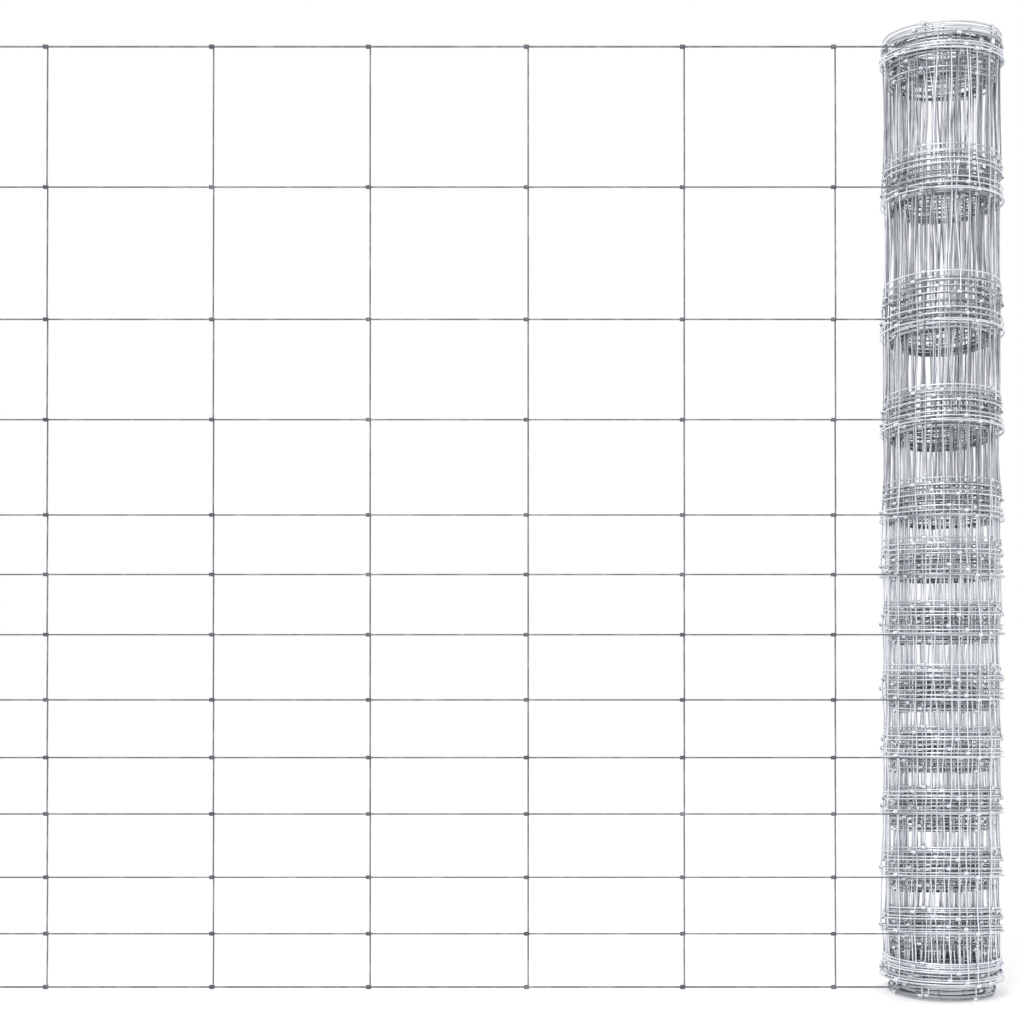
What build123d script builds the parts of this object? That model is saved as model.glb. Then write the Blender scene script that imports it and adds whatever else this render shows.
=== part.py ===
from build123d import *
import os

os.makedirs("parts", exist_ok=True)

# Knotted field fence of galvanised wire, 1.5 m high, in a 20 m roll.
# The roll stands on its end. The last metre and a half is unrolled from its front and runs
# flat towards -X, up to a plain cut end. Z runs up the roll's axis and the floor is z = 0.

# Wires, each drawn as a square bar
edge_wire = 3.0  # across the top and the bottom line wire
line_wire = 2.5  # across the line wires between them
stay_wire = 2.5  # across the upright stays
knot_sides = 6

# Fence: line wires upwards from the bottom one, stays outwards from the roll's axis
line_gaps = (85, 90, 101, 90, 92, 104, 96, 95, 152, 160, 211, 224)
first_stay = 192
stay_gaps = (241, 249, 252, 250, 265)
cut_end = 125  # line wire left past the last stay

# Hinge-joint knot: the ends of two stays wrapped side by side round the line wire
knot_wraps = 4
wrap_clearance = 0.1  # between a wrap and the line wire that it goes round

# Roll: its turns stand higher or lower than the next ones, so each line wire makes a tall band.
# The turns lie closer than two wires, because their line wires pass each other at other heights.
roll_radius = 99
bore_radius = 66
ring_lifts = (0, 24, 50, 68, 44, 18, 0, 30, 60, 74, 52, 26.5)  # inside out, a ring for each three turns
band_rise = 3  # how far the bands of knots stand out from the stays between them
band_shoulder = 15  # the height over which the stays draw in from a band
steepest_shoulder = 0.5  # how fast the roll may narrow where two bands are close

ring_wall = (roll_radius - bore_radius) / len(ring_lifts)
highest_lift = max(ring_lifts)
loose_lift = ring_lifts[-1]  # the loose end stays as high as the last turns
fence_height = sum(line_gaps)
line_levels = [edge_wire / 2 + sum(line_gaps[:count]) for count in range(len(line_gaps) + 1)]
stay_reaches = [first_stay + sum(stay_gaps[:count]) for count in range(len(stay_gaps) + 1)]
loose_length = stay_reaches[-1] + cut_end
sheet_y = -(roll_radius + edge_wire / 2)


def wire_across(line):
    return edge_wire if line in (0, len(line_gaps)) else line_wire


# The wound turns, as one turned solid round its bore
turn_height = fence_height + edge_wire

with BuildPart() as wound_roll:
    with BuildSketch(Plane.XZ):
        # each ring of turns is as tall as the fence, so the turns show as steps on both ends
        for ring, lift in enumerate(ring_lifts):
            with Locations((bore_radius + ring * ring_wall, lift)):
                Rectangle(ring_wall, turn_height, align=(Align.MIN, Align.MIN))
        # between two bands the stays draw in, less where the bands are close
        for line in range(len(line_gaps)):
            foot = line_levels[line] + highest_lift + wire_across(line) / 2
            head = line_levels[line + 1] - wire_across(line + 1) / 2
            shoulder = min(band_shoulder, (head - foot) / 2)
            if shoulder > 0:
                waist_radius = roll_radius - min(band_rise, steepest_shoulder * shoulder)
                outline = [
                    (roll_radius, foot),
                    (waist_radius, foot + shoulder),
                    (waist_radius, head - shoulder),
                    (roll_radius, head),
                ]
                if head - foot <= 2 * band_shoulder:
                    outline.pop(2)  # the two shoulders meet
                with BuildLine():
                    Polyline(outline, close=True)
                make_face(mode=Mode.SUBTRACT)
    revolve(axis=Axis.Z)

wound_roll.part.label = "wound_roll"
export_step(wound_roll.part, "parts/wound_roll.step")

# The line wires of the loose end, from the cut end to where they touch the roll
for line, level in enumerate(line_levels):
    with BuildPart() as line_bar:
        with BuildSketch(Plane.YZ.offset(-loose_length)):
            with Locations((sheet_y, level + loose_lift)):
                Rectangle(wire_across(line), wire_across(line))
        extrude(amount=loose_length)
    name = f"line_wire_{line + 1:02d}"
    line_bar.part.label = name
    export_step(line_bar.part, f"parts/{name}.step")

# The stays of the loose end, each knotted on every line wire that it crosses
knot_length = knot_wraps * stay_wire
for stay, reach in enumerate(stay_reaches, start=1):
    with BuildPart() as stay_bars:
        with BuildSketch(Plane.YZ.offset(-reach + stay_wire / 2)):
            for line, level in enumerate(line_levels):
                hole = wire_across(line) + 2 * wrap_clearance
                with Locations((sheet_y, level + loose_lift)):
                    RegularPolygon(hole / 2 + stay_wire, knot_sides, major_radius=False)
                    Rectangle(hole, hole, mode=Mode.SUBTRACT)
        extrude(amount=-knot_length)
        # each straight length is sunk half its thickness into the knots at its ends
        for line in range(len(line_gaps)):
            foot = line_levels[line] + loose_lift + wire_across(line) / 2 + stay_wire / 2
            head = line_levels[line + 1] + loose_lift - wire_across(line + 1) / 2 - stay_wire / 2
            with BuildSketch(Plane.XY.offset(foot)):
                with Locations((-reach, sheet_y)):
                    Rectangle(stay_wire, stay_wire)
            extrude(amount=head - foot)
    name = f"stay_wire_{stay}"
    stay_bars.part.label = name
    export_step(stay_bars.part, f"parts/{name}.step")
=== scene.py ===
import math
import random

import bpy
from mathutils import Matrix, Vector


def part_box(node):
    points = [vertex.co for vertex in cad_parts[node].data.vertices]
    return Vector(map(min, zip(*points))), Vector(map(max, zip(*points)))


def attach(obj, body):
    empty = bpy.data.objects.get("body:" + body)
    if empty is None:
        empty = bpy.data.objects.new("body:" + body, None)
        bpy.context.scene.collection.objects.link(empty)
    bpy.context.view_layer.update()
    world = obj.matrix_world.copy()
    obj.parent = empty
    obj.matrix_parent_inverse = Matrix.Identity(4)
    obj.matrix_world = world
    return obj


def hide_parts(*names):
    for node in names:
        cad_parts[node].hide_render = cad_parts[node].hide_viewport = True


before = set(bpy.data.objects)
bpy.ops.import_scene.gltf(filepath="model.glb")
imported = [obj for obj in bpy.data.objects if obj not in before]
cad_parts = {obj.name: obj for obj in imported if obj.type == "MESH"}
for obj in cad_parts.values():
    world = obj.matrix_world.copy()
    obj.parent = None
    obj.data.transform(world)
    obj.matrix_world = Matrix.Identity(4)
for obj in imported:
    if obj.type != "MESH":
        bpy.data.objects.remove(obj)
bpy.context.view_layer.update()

scene = bpy.context.scene
scene.view_settings.view_transform = "Standard"
mm = 0.001
lineCount = 13
stayCount = 6


# small helpers
def linear(hexColour):  # sRGB hex to the linear colour that shaders take
    parts = [int(hexColour[i:i + 2], 16) / 255 for i in (1, 3, 5)]
    return [p / 12.92 if p <= 0.04045 else ((p + 0.055) / 1.055) ** 2.4 for p in parts] + [1.0]


# one node, with its settings, and a value or a link for each input that is named
def addNode(tree, kind, settings=None, **links):
    node = tree.nodes.new(kind)
    for name, value in (settings or {}).items():
        setattr(node, name, value)
    for name, value in links.items():
        byNumber = name[0] == "i" and name[1:].isdigit()  # i0 is the first input
        socket = node.inputs[int(name[1:]) if byNumber else name]
        if isinstance(value, bpy.types.NodeSocket):
            tree.links.new(value, socket)
        else:
            socket.default_value = value
    return node


def smooth(t):  # eases from 0 to 1
    t = min(max(t, 0.0), 1.0)
    return t * t * (3 - 2 * t)


# camera: level, in front of the fence's middle and about three metres from it
camera = {
    "place": (-0.7078, -3.2, 0.6714),
    "lens": 68.31,  # mm
    "sensor": 36,  # mm wide
    "lift": 0.07,  # lens shift, because the camera stands lower than the fence's middle
}
cameraData = bpy.data.cameras.new("camera")
cameraData.lens = camera["lens"]
cameraData.sensor_width = camera["sensor"]
cameraData.shift_y = camera["lift"]
cameraObject = bpy.data.objects.new("camera", cameraData)
cameraObject.location = camera["place"]
cameraObject.rotation_euler = (math.radians(90), 0, 0)
scene.collection.objects.link(cameraObject)
scene.camera = cameraObject
print("camera placed")

# the fence as the frame gives it
lineBoxes = [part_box(f"line_wire_{line:02d}") for line in range(1, lineCount + 1)]
stayBoxes = [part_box(f"stay_wire_{stay}") for stay in range(1, stayCount + 1)]
wireAcross = [high.z - low.z for low, high in lineBoxes]
lineHeights = [(high.z + low.z) / 2 for low, high in lineBoxes]  # of the loose end
cutEnd = -lineBoxes[0][0].x
sheetRadius = -(lineBoxes[0][0].y + lineBoxes[0][1].y) / 2  # the loose end is tangent to the roll here
stayAcross = 2.5 * mm
stayReaches = [stayAcross / 2 - high.x for low, high in stayBoxes]

roll = {
    "ringLifts": (0, 24, 50, 68, 44, 18, 0, 30, 60, 74, 52, 26.5),  # mm, inside out
    "ringTurns": 3,
    "levels": 12,  # how many heights the turns settle at
    "boreRadius": 67.25 * mm,  # to the middle of the innermost wire
    # for each line wire from the bottom up: its lowest and its highest turn, from its loose end,
    # and how far it sags at the back, all in mm
    "bandFoot": (-26, -27, -22, -28, -24, -20, -14, -4, 2, -8, -10, -4, -35),
    "bandTop": (34, 40, 47, 42, 48, 55, 54, 60, 60, 58, 80, 72, 42),
    "backDrop": (0, 28, 26, 20, 14, 8, 4, 8, 16, 30, 28, 20, 8),
    "heldAngle": 115,  # degrees each way from the front in which a turn keeps its lift
    "knotClearance": 3 * mm,  # the lowest turns stand on their knots
    "sheetRipple": (1.8 * mm, 2),  # height and number in a turn of the waves that all line wires share
    "heightRipple": (0.9 * mm, 3),  # and of each wire's own waves, up and down
    "depthRipple": (1.2 * mm, 3),  # and in and out
    "stepsPerTurn": 60,
    "sides": 6,
    "seed": 11,
}
turnCount = len(roll["ringLifts"]) * roll["ringTurns"]
turnPitch = (sheetRadius - roll["boreRadius"]) / turnCount
highestLift = max(roll["ringLifts"])
looseLift = roll["ringLifts"][-1]
draw = random.Random(roll["seed"])


def ringLift(turn):  # inside out, each turn a step from one ring's lift to the next
    at = min(max((turn + 0.5) / roll["ringTurns"] - 0.5, 0), len(roll["ringLifts"]) - 1)
    ring = min(int(at), len(roll["ringLifts"]) - 2)
    share = at - ring
    lift = roll["ringLifts"][ring] * (1 - share) + roll["ringLifts"][ring + 1] * share
    step = highestLift / (roll["levels"] - 1)
    return round(lift / step) * step


turnLifts = [ringLift(turn) for turn in range(turnCount)][:-1] + [looseLift]


def woundAngle(run):  # the angle wound back from where the fence leaves the roll, for metres of fence
    return (sheetRadius - math.sqrt(sheetRadius ** 2 - turnPitch * run / math.pi)) * math.tau / turnPitch


def woundRun(angle):  # and the metres of fence for an angle
    return sheetRadius * angle - turnPitch * angle ** 2 / (4 * math.pi)


def bandHeight(line, lift):  # of a wound line wire above its loose end
    foot, top = roll["bandFoot"][line], roll["bandTop"][line]
    if lift > looseLift:
        return top * (lift - looseLift) / (highestLift - looseLift) * mm
    return foot * (looseLift - lift) / looseLift * mm


def turnHeight(angle, line):  # held round the front, changed at the back
    turns = min(angle / math.tau, turnCount - 1)
    turn = min(int(turns), turnCount - 2)
    share = turns - turn
    held = roll["heldAngle"] / 360
    eased = smooth((share - held) / (1 - 2 * held))
    outer, inner = (bandHeight(line, turnLifts[-1 - turn - k]) for k in (0, 1))
    sag = roll["backDrop"][line] * mm * (1 - math.cos(angle)) / 2
    return outer + (inner - outer) * eased - sag


def makeRipple(size, perTurn):  # small uneven waves along a wound wire, none where it leaves the roll
    peaks = [draw.uniform(-size, size) for _ in range(turnCount * perTurn + 2)]

    def ripple(angle):
        at = angle / math.tau * perTurn
        k = int(at)
        t = smooth(at - k)
        return (peaks[k] * (1 - t) + peaks[k + 1] * t) * smooth(angle / math.pi)
    return ripple


sheetRipple = makeRipple(*roll["sheetRipple"])
heightRipples = [makeRipple(*roll["heightRipple"]) for _ in range(lineCount)]
depthRipples = [makeRipple(*roll["depthRipple"]) for _ in range(lineCount)]


def onFence(run, line):  # a point on a line wire, and the directions along the wire and out of the roll
    if run <= 0:  # on the loose end
        return Vector((run, -sheetRadius, lineHeights[line])), Vector((-1, 0, 0)), Vector((0, -1, 0))
    angle = woundAngle(run)
    radius = sheetRadius - turnPitch * angle / math.tau + depthRipples[line](angle)
    height = lineHeights[line] + turnHeight(angle, line) + sheetRipple(angle) + heightRipples[line](angle)
    height = max(height, lineHeights[0] - looseLift * mm + roll["knotClearance"])
    out = Vector((math.sin(angle), -math.cos(angle), 0))
    return out * radius + Vector((0, 0, height)), Vector((-math.cos(angle), -math.sin(angle), 0)), out


# geometry node trees
def newTree(name, inputs):  # with a named input for each size
    tree = bpy.data.node_groups.new(name, "GeometryNodeTree")
    for label, kind in {"Geometry": "Geometry", **inputs}.items():
        tree.interface.new_socket(label, in_out="INPUT", socket_type=f"NodeSocket{kind}")
    tree.interface.new_socket("Geometry", in_out="OUTPUT", socket_type="NodeSocketGeometry")
    return tree, tree.nodes.new("NodeGroupInput"), tree.nodes.new("NodeGroupOutput")


def sweepRound(tree, given, curve):  # a round wire along a curve, with its ends closed
    half = addNode(tree, "ShaderNodeMath", {"operation": "MULTIPLY"},
                   i0=given.outputs["Wire diameter"], i1=0.5)
    section = addNode(tree, "GeometryNodeCurvePrimitiveCircle", {"mode": "RADIUS"},
                      Resolution=given.outputs["Sides"], Radius=half.outputs[0])
    swept = addNode(tree, "GeometryNodeCurveToMesh", Curve=curve, i1=section.outputs["Curve"],
                    **{"Fill Caps": True})
    return swept.outputs["Mesh"]


def endTree(tree, given, made, geometry):  # made real, and with its finish
    whole = addNode(tree, "GeometryNodeRealizeInstances", Geometry=geometry)
    finished = addNode(tree, "GeometryNodeSetMaterial", Geometry=whole.outputs["Geometry"],
                       Material=given.outputs["Finish"])
    tree.links.new(finished.outputs["Geometry"], made.inputs["Geometry"])


def wireTree():  # a round wire along every chain of edges
    tree, given, made = newTree("drawnWire", {
        "Wire diameter": "Float", "Sides": "Int", "Finish": "Material"})
    line = addNode(tree, "GeometryNodeMeshToCurve", Mesh=given.outputs["Geometry"])
    endTree(tree, given, made, sweepRound(tree, given, line.outputs["Curve"]))
    return tree


def knotTree():  # a hinge joint on every point: two stay ends wound side by side round the line wire
    tree, given, made = newTree("hingeJoint", {
        "Wrap radius": "Float", "Length": "Float", "Wraps": "Float", "Steps": "Int",
        "Wire diameter": "Float", "Sides": "Int", "Finish": "Material"})
    helix = addNode(tree, "GeometryNodeCurveSpiral", Resolution=given.outputs["Steps"],
                    Rotations=given.outputs["Wraps"], Height=given.outputs["Length"],
                    **{name: given.outputs["Wrap radius"] for name in ("Start Radius", "End Radius")})
    oneEnd = sweepRound(tree, given, helix.outputs["Curve"])
    otherEnd = addNode(tree, "GeometryNodeTransform", Geometry=oneEnd, Rotation=(0, 0, math.pi))
    both = addNode(tree, "GeometryNodeJoinGeometry")
    for wrap in (otherEnd.outputs["Geometry"], oneEnd):
        tree.links.new(wrap, both.inputs["Geometry"])
    along, out = (addNode(tree, "GeometryNodeInputNamedAttribute", {"data_type": "FLOAT_VECTOR"}, Name=name)
                  for name in ("along", "out"))
    turned = addNode(tree, "FunctionNodeAxesToRotation", {"primary_axis": "Z", "secondary_axis": "X"},
                     i0=along.outputs["Attribute"], i1=out.outputs["Attribute"])
    girth = addNode(tree, "GeometryNodeInputNamedAttribute", {"data_type": "FLOAT"}, Name="girth")
    size = addNode(tree, "ShaderNodeCombineXYZ",
                   X=girth.outputs["Attribute"], Y=girth.outputs["Attribute"], Z=1.0)
    placed = addNode(tree, "GeometryNodeInstanceOnPoints",
                     Points=given.outputs["Geometry"], Instance=both.outputs["Geometry"],
                     Rotation=turned.outputs["Rotation"], Scale=size.outputs[0])
    endTree(tree, given, made, placed.outputs["Instances"])
    return tree


def runTree(tree, mesh, values):  # the mesh that a tree makes of this one
    holder = bpy.data.objects.new("holder", mesh)
    scene.collection.objects.link(holder)
    modifier = holder.modifiers.new("nodes", "NODES")
    modifier.node_group = tree
    sockets = {item.name: item.identifier for item in tree.interface.items_tree if item.in_out == "INPUT"}
    for name, value in values.items():
        modifier[sockets[name]] = value
    result = bpy.data.meshes.new_from_object(holder.evaluated_get(bpy.context.evaluated_depsgraph_get()))
    bpy.data.objects.remove(holder)
    for name in ("along", "out", "girth"):  # only the tree needed these
        if name in result.attributes:
            result.attributes.remove(result.attributes[name])
    return result


def joinMeshes(name, meshes):
    objects = [bpy.data.objects.new(name, mesh) for mesh in meshes]
    for item in objects:
        scene.collection.objects.link(item)
    if len(objects) > 1:
        with bpy.context.temp_override(active_object=objects[0], selected_editable_objects=objects):
            bpy.ops.object.join()
    piece = objects[0]
    for face in piece.data.polygons:
        face.use_smooth = True
    piece.name = name
    piece.data.name = name
    return piece


def addValues(mesh, name, values):
    attribute = mesh.attributes.new(name, "FLOAT", "POINT")
    attribute.data.foreach_set("value", values)


def lines(name, chains, tones):  # a mesh of bare edges, a chain for each list of points, with their tones
    mesh = bpy.data.meshes.new(name)
    points, edges = [], []
    for chain in chains:
        edges += [(len(points) + i, len(points) + i + 1) for i in range(len(chain) - 1)]
        points += chain
    mesh.from_pydata(points, edges, [])
    addValues(mesh, "wireTone", tones)
    return mesh


def spots(name, places):  # a mesh of bare points that carries each knot's directions, girth and tone
    mesh = bpy.data.meshes.new(name)
    mesh.from_pydata([row[0] for row in places], [], [])
    for label, column in (("along", 1), ("out", 2)):
        attribute = mesh.attributes.new(label, "FLOAT_VECTOR", "POINT")
        attribute.data.foreach_set("vector", [value for row in places for value in row[column]])
    addValues(mesh, "girth", [row[3] for row in places])
    addValues(mesh, "wireTone", [row[4] for row in places])
    return mesh


# finish: hot-dip galvanised steel wire
zinc = {
    # the dull colour also serves for painted shade and the bright one for painted light, through the tones
    # below
    "brightAndLit": "#EFF2F7",
    "dullAndShaded": "#72767D",
    "spangle": 28 * mm,  # length of the longest bright or dull stretches of the coat
    "spangleDetail": 3.0,  # how often they are halved into shorter ones
    "shortSpangles": 0.6,  # how strong the shorter ones are
    "spangleRange": (0.3, 0.7),  # of the noise, from dull to bright
    "spangleShare": 0.2,  # how much the spangle changes the tone of the wire
    "brightRoughness": 0.35,
    "dullRoughness": 0.5,
    "looseShadedTone": 0.05,  # 0 dull to 1 bright: the loose end is darker than the roll, a painted shade that stands in for the light the roll gets and the loose end does not
    "toneChange": (25 * mm, 95 * mm),  # where the loose end turns to its painted shade, from the roll's middle
    "outerTone": 0.95,
    "innerShadedTone": -0.05,  # painted shade: the inner turns are darker, for the shade inside the roll
    "toneSpread": 0.35,
    "toneTurns": 0.7,  # turns of the roll between one tone and the next
    "tallStayTone": (0.15, 1.0),  # of the wound stays in the tall cells
    "lowStayLitTone": (0.95, 1.2),  # and in the low ones, where the spangle hardly shows past 1: painted light, these stays are kept at the brightest zinc, paler than the stays in the tall cells
}


# zinc coat: pale blue-grey metal, bright where it is fresh and duller where it has weathered; the tones
# also paint shade on the inner turns and on the loose end, and light on the stays of the low cells
def galvanisedWire():
    material = bpy.data.materials.new("hotDipGalvanisedWire")
    material.use_nodes = True
    tree = material.node_tree
    tree.nodes.clear()
    place = addNode(tree, "ShaderNodeTexCoord")
    mottle = addNode(tree, "ShaderNodeTexNoise", Vector=place.outputs["Object"], Scale=1 / zinc["spangle"],
                     Detail=zinc["spangleDetail"], Roughness=zinc["shortSpangles"])
    low, high = zinc["spangleRange"]
    spangle = addNode(tree, "ShaderNodeMapRange", Value=mottle.outputs["Fac"], **{
        "From Min": low, "From Max": high, "To Min": -zinc["spangleShare"], "To Max": zinc["spangleShare"]})
    tone = addNode(tree, "ShaderNodeAttribute", {"attribute_name": "wireTone"})
    # the tone with its spangle: weathering and random tone, and also painted shade and painted light
    freshAndLit = addNode(tree, "ShaderNodeMath", {"operation": "ADD", "use_clamp": True},
                    i0=tone.outputs["Fac"], i1=spangle.outputs["Result"])
    ramp = addNode(tree, "ShaderNodeValToRGB", Fac=freshAndLit.outputs[0])
    ramp.color_ramp.elements[0].color = linear(zinc["dullAndShaded"])
    ramp.color_ramp.elements[1].color = linear(zinc["brightAndLit"])
    rough = addNode(tree, "ShaderNodeMapRange", Value=freshAndLit.outputs[0], **{
        "To Min": zinc["dullRoughness"], "To Max": zinc["brightRoughness"]})
    shader = addNode(tree, "ShaderNodeBsdfPrincipled", Metallic=1.0, Roughness=rough.outputs["Result"])
    tree.links.new(ramp.outputs["Color"], shader.inputs["Base Color"])
    addNode(tree, "ShaderNodeOutputMaterial", Surface=shader.outputs["BSDF"])
    return material


finish = galvanisedWire()
drawnWire = wireTree()
hingeJoint = knotTree()

# line wires: each one runs from its cut inner end through all the turns to the cut end of the loose stretch
endAngle = turnCount * math.tau
wholeRun = woundRun(endAngle)
lineSteps = turnCount * roll["stepsPerTurn"]
lineAngles = [endAngle * (1 - i / lineSteps) for i in range(lineSteps)]


def makeTones():  # the tone of a wound line wire, by the angle: painted shade, darker turn by turn towards the inside of the roll, with random tones about that
    count = int(turnCount / zinc["toneTurns"]) + 2
    means = [zinc["outerTone"] + (zinc["innerShadedTone"] - zinc["outerTone"]) * k / count for k in range(count)]
    tones = [mean + draw.uniform(-1, 1) * zinc["toneSpread"] for mean in means]

    def toneAt(angle):
        at = angle / math.tau / zinc["toneTurns"]
        share = smooth(at - int(at))
        return tones[int(at)] * (1 - share) + tones[int(at) + 1] * share
    return toneAt


for line in range(lineCount):
    toneAt = makeTones()
    path = [onFence(woundRun(angle), line)[0] for angle in lineAngles]
    path += [onFence(-reach, line)[0] for reach in (0, *zinc["toneChange"], cutEnd)]
    # painted shade: the last stretch of the loose end is coloured darker than the roll
    tones = [toneAt(angle) for angle in lineAngles] + [toneAt(0)] * 2 + [zinc["looseShadedTone"]] * 2
    mesh = runTree(drawnWire, lines("path", [path], tones), {
        "Wire diameter": wireAcross[line], "Sides": roll["sides"], "Finish": finish})
    piece = joinMeshes(f"lineWire{line + 1:02d}", [mesh])
    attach(piece, "root")
    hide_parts(f"line_wire_{line + 1:02d}", "wound_roll")
print("line wires made")

# stays and their knots
knot = {
    "wraps": 2.0,
    "length": 7.5 * mm,
    "overlap": 1 * mm,  # how far the knot reaches past the stay
    "steps": 6,  # in each wrap
    "sides": 4,
}
stays = {
    "bowIn": (-0.6 * mm, 6 * mm),  # in a cell as tall as tallCell, and less in a lower one
    "lean": 4 * mm,
    "wave": 2.5 * mm,
    "tallCell": 200 * mm,
    "tallFrom": 0.7,  # the share of tallCell from which a stay takes tallStayTone
    "slip": (1.5 * mm, 6 * mm),  # how far the knots of a tight and of a slack row sit from their row
    "footSides": (-1, -1, 0),  # wrap radii from a line wire out to the foot of a wound stay, drawn for each
    "steps": 8,
    "sides": 6,
    "pitch": 150 * mm,  # from one wound row to the next, along the fence
    "jitter": 0.12,  # the share of the pitch by which a row may move
    "firstRow": 0.4,  # pitches from where the fence leaves the roll
    "choices": 9,  # places that are tried for a row
}
wrapRadius = [(across + stayAcross) / 2 for across in wireAcross]


def stayRow(run, loose):  # the twelve short wires of a row and its thirteen knots, with their tones
    wires, wireTones, knots, hold = [], [], [], []
    slack = 0 if loose else draw.uniform(0, 1) ** 2  # most rows are tight
    furthest = stays["slip"][0] * (1 - slack) + stays["slip"][1] * slack
    for line in range(lineCount):
        slip = 0 if loose else draw.uniform(-1, 1) * furthest
        # painted tones on the knots: darker on the loose end for painted shade, near the brightest zinc on
        # the roll for painted light
        tone = zinc["looseShadedTone"] if loose else draw.uniform(*zinc["lowStayLitTone"])
        point, along, out = onFence(run + slip, line)
        start = onFence(run + slip + knot["overlap"], line)[0]
        knots.append((start, along, out, wrapRadius[line] / wrapRadius[1], tone))
        hold.append((point, along, out))
    for line in range(lineCount - 1):
        (foot, along, out), (head, _, _) = hold[line], hold[line + 1]
        foot = foot + out * wrapRadius[line] * (1 if loose else draw.choice(stays["footSides"]))
        head = head - out * wrapRadius[line + 1]
        steps = 1 if loose else stays["steps"]
        tall = 0 if loose else (head - foot).length / stays["tallCell"]
        bowIn = draw.uniform(*stays["bowIn"]) * tall
        lean = draw.uniform(-1, 1) * stays["lean"] * tall
        wave = draw.uniform(-1, 1) * stays["wave"] * tall
        chain = []
        for i in range(steps + 1):
            t = i / steps
            aside = lean * math.sin(math.pi * t) + wave * math.sin(2 * math.pi * t)
            chain.append(foot.lerp(head, t) - out * bowIn * math.sin(math.pi * t) + along * aside)
        wires.append(chain)
        # painted light: the stays of the low cells take tones near the brightest zinc; painted shade: the
        # loose end's stays take its darker tone
        tone = draw.uniform(*zinc["tallStayTone" if tall > stays["tallFrom"] else "lowStayLitTone"])
        wireTones += [zinc["looseShadedTone"] if loose else tone] * len(chain)
    return wires, wireTones, knots


def makeStays(name, rows, nodes):
    wires = [wire for row in rows for wire in row[0]]
    tones = [tone for row in rows for tone in row[1]]
    knots = [spot for row in rows for spot in row[2]]
    wireMesh = runTree(drawnWire, lines("stays", wires, tones), {
        "Wire diameter": stayAcross, "Sides": stays["sides"], "Finish": finish})
    knotMesh = runTree(hingeJoint, spots("knots", knots), {
        "Wrap radius": wrapRadius[1], "Length": knot["length"], "Wraps": knot["wraps"],
        "Steps": knot["steps"], "Wire diameter": stayAcross, "Sides": knot["sides"], "Finish": finish})
    piece = joinMeshes(name, [wireMesh, knotMesh])
    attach(piece, "root")
    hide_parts(*nodes)


for stay, reach in enumerate(stayReaches, start=1):
    makeStays(f"stayRow{stay}", [stayRow(-reach, True)], [f"stay_wire_{stay}"])
print("loose stays made")


def roomAt(angle, angles):  # the angle to the nearest of the others, the short way round the roll
    return min([abs((angle - other + math.pi) % math.tau - math.pi) for other in angles] or [0])


def placeRows():  # each row moves within its jitter to where the roll has fewest stays
    runs, angles = [], []
    reach = stays["pitch"] * stays["jitter"]
    run = stays["firstRow"] * stays["pitch"]
    while run < wholeRun - knot["length"]:
        choices = [run + reach * (2 * k / (stays["choices"] - 1) - 1) for k in range(stays["choices"])]
        room = [roomAt(woundAngle(choice), angles) for choice in choices]
        best = choices[room.index(max(room))]
        runs.append(best)
        angles.append(woundAngle(best))
        run += stays["pitch"] * draw.uniform(1 - stays["jitter"], 1 + stays["jitter"])
    return runs


woundRows = [stayRow(run, False) for run in placeRows()]
third = math.ceil(len(woundRows) / 3)
for part, name in enumerate(("woundStaysOuter", "woundStaysMiddle", "woundStaysInner")):
    makeStays(name, woundRows[part * third:(part + 1) * third], ["wound_roll"])
print("wound stays made:", len(woundRows), "rows")

# studio
studio = {
    "floorColour": "#F2F2F2",
    "floorReach": 60,  # metres each way
    "worldLevel": 0.75,
    "key": {  # metres, watts and degrees
        "place": (-1.6, -3.2, 3.4), "aim": (0, 0, 0.8), "size": 1.8, "tall": 1.8, "power": 9, "spread": 60},
}


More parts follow.
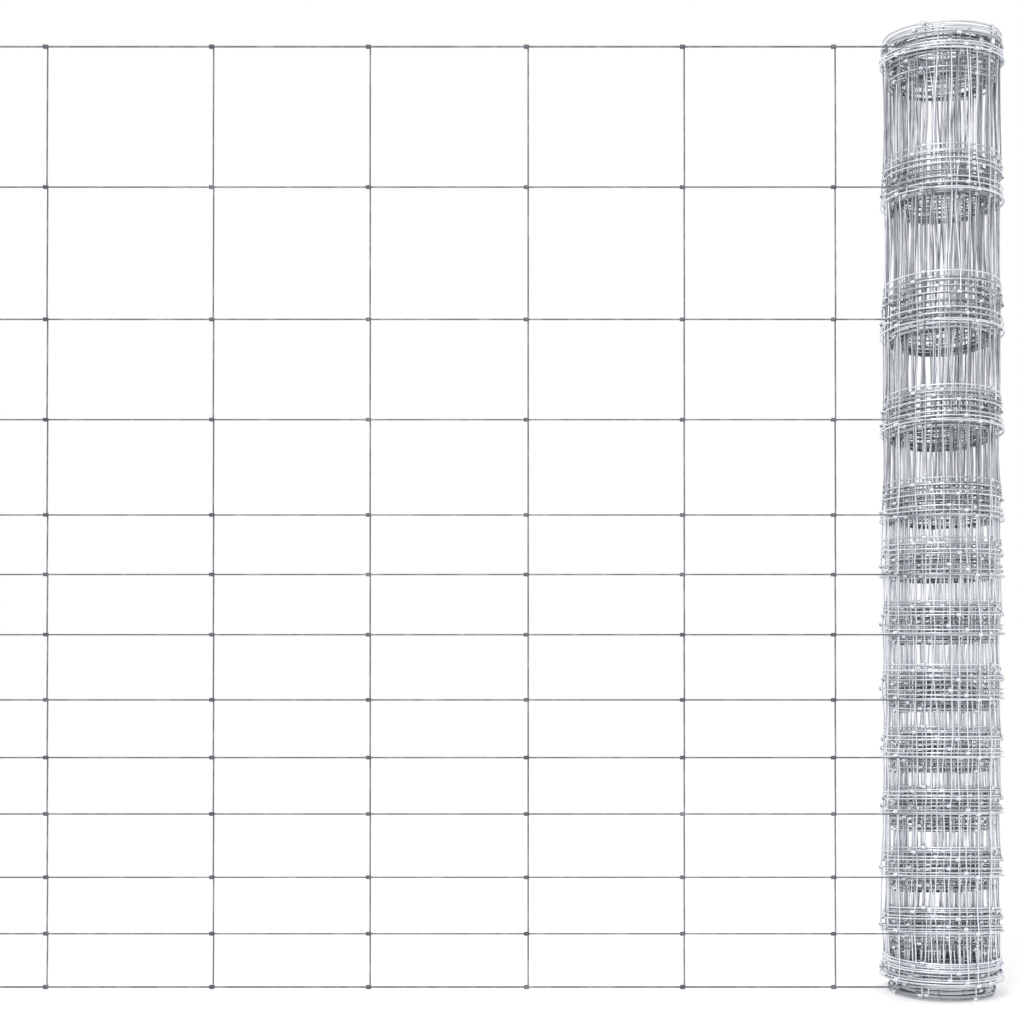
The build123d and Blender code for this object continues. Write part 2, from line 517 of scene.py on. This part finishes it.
def mirroredRays(tree):  # 1 for what the camera sees, straight or mirrored in metal or glass
    light = addNode(tree, "ShaderNodeLightPath")
    seen = addNode(tree, "ShaderNodeMath", {"operation": "MAXIMUM"},
                   i0=light.outputs["Is Camera Ray"], i1=light.outputs["Is Glossy Ray"])
    return addNode(tree, "ShaderNodeMath", {"operation": "MAXIMUM"},
                   i0=seen.outputs[0], i1=light.outputs["Is Transmission Ray"]).outputs[0]


def whiteWorld():  # seen by the camera and in reflections as a white studio
    world = bpy.data.worlds.new("studio")
    scene.world = world
    world.use_nodes = True
    tree = world.node_tree
    tree.nodes.clear()
    level = addNode(tree, "ShaderNodeMapRange", Value=mirroredRays(tree), **{
        "To Min": studio["worldLevel"], "To Max": 1.0})
    back = addNode(tree, "ShaderNodeBackground", Color=(1, 1, 1, 1), Strength=level.outputs["Result"])
    addNode(tree, "ShaderNodeOutputWorld", Surface=back.outputs["Background"])


def paleFloor():  # matt, and lifted to white where no shadow falls
    far = studio["floorReach"]
    mesh = bpy.data.meshes.new("floor")
    mesh.from_pydata([(-far, -far, 0), (far, -far, 0), (far, far, 0), (-far, far, 0)], [], [(0, 1, 2, 3)])
    floor = bpy.data.objects.new("floor", mesh)
    scene.collection.objects.link(floor)
    material = bpy.data.materials.new("paleFloor")
    material.use_nodes = True
    tree = material.node_tree
    tree.nodes.clear()
    colour = linear(studio["floorColour"])
    matt = addNode(tree, "ShaderNodeBsdfDiffuse", Color=colour)
    lift = addNode(tree, "ShaderNodeMath", {"operation": "MULTIPLY"}, i0=mirroredRays(tree),
                   i1=1.0 - studio["worldLevel"] * colour[0])
    glow = addNode(tree, "ShaderNodeEmission", Color=(1, 1, 1, 1), Strength=lift.outputs[0])
    both = addNode(tree, "ShaderNodeAddShader", i0=matt.outputs[0], i1=glow.outputs[0])
    addNode(tree, "ShaderNodeOutputMaterial", Surface=both.outputs[0])
    mesh.materials.append(material)


def softLamp(name, place, aim, size, tall, power, spread):
    data = bpy.data.lights.new(name, "AREA")
    data.energy = power
    data.shape = "RECTANGLE"
    data.size = size
    data.size_y = tall
    data.spread = math.radians(spread)
    lamp = bpy.data.objects.new(name, data)
    lamp.location = place
    lamp.rotation_euler = (Vector(aim) - Vector(place)).to_track_quat("-Z", "Y").to_euler()
    lamp.visible_camera = False
    scene.collection.objects.link(lamp)


whiteWorld()
paleFloor()
softLamp("key", **studio["key"])
print("studio made")
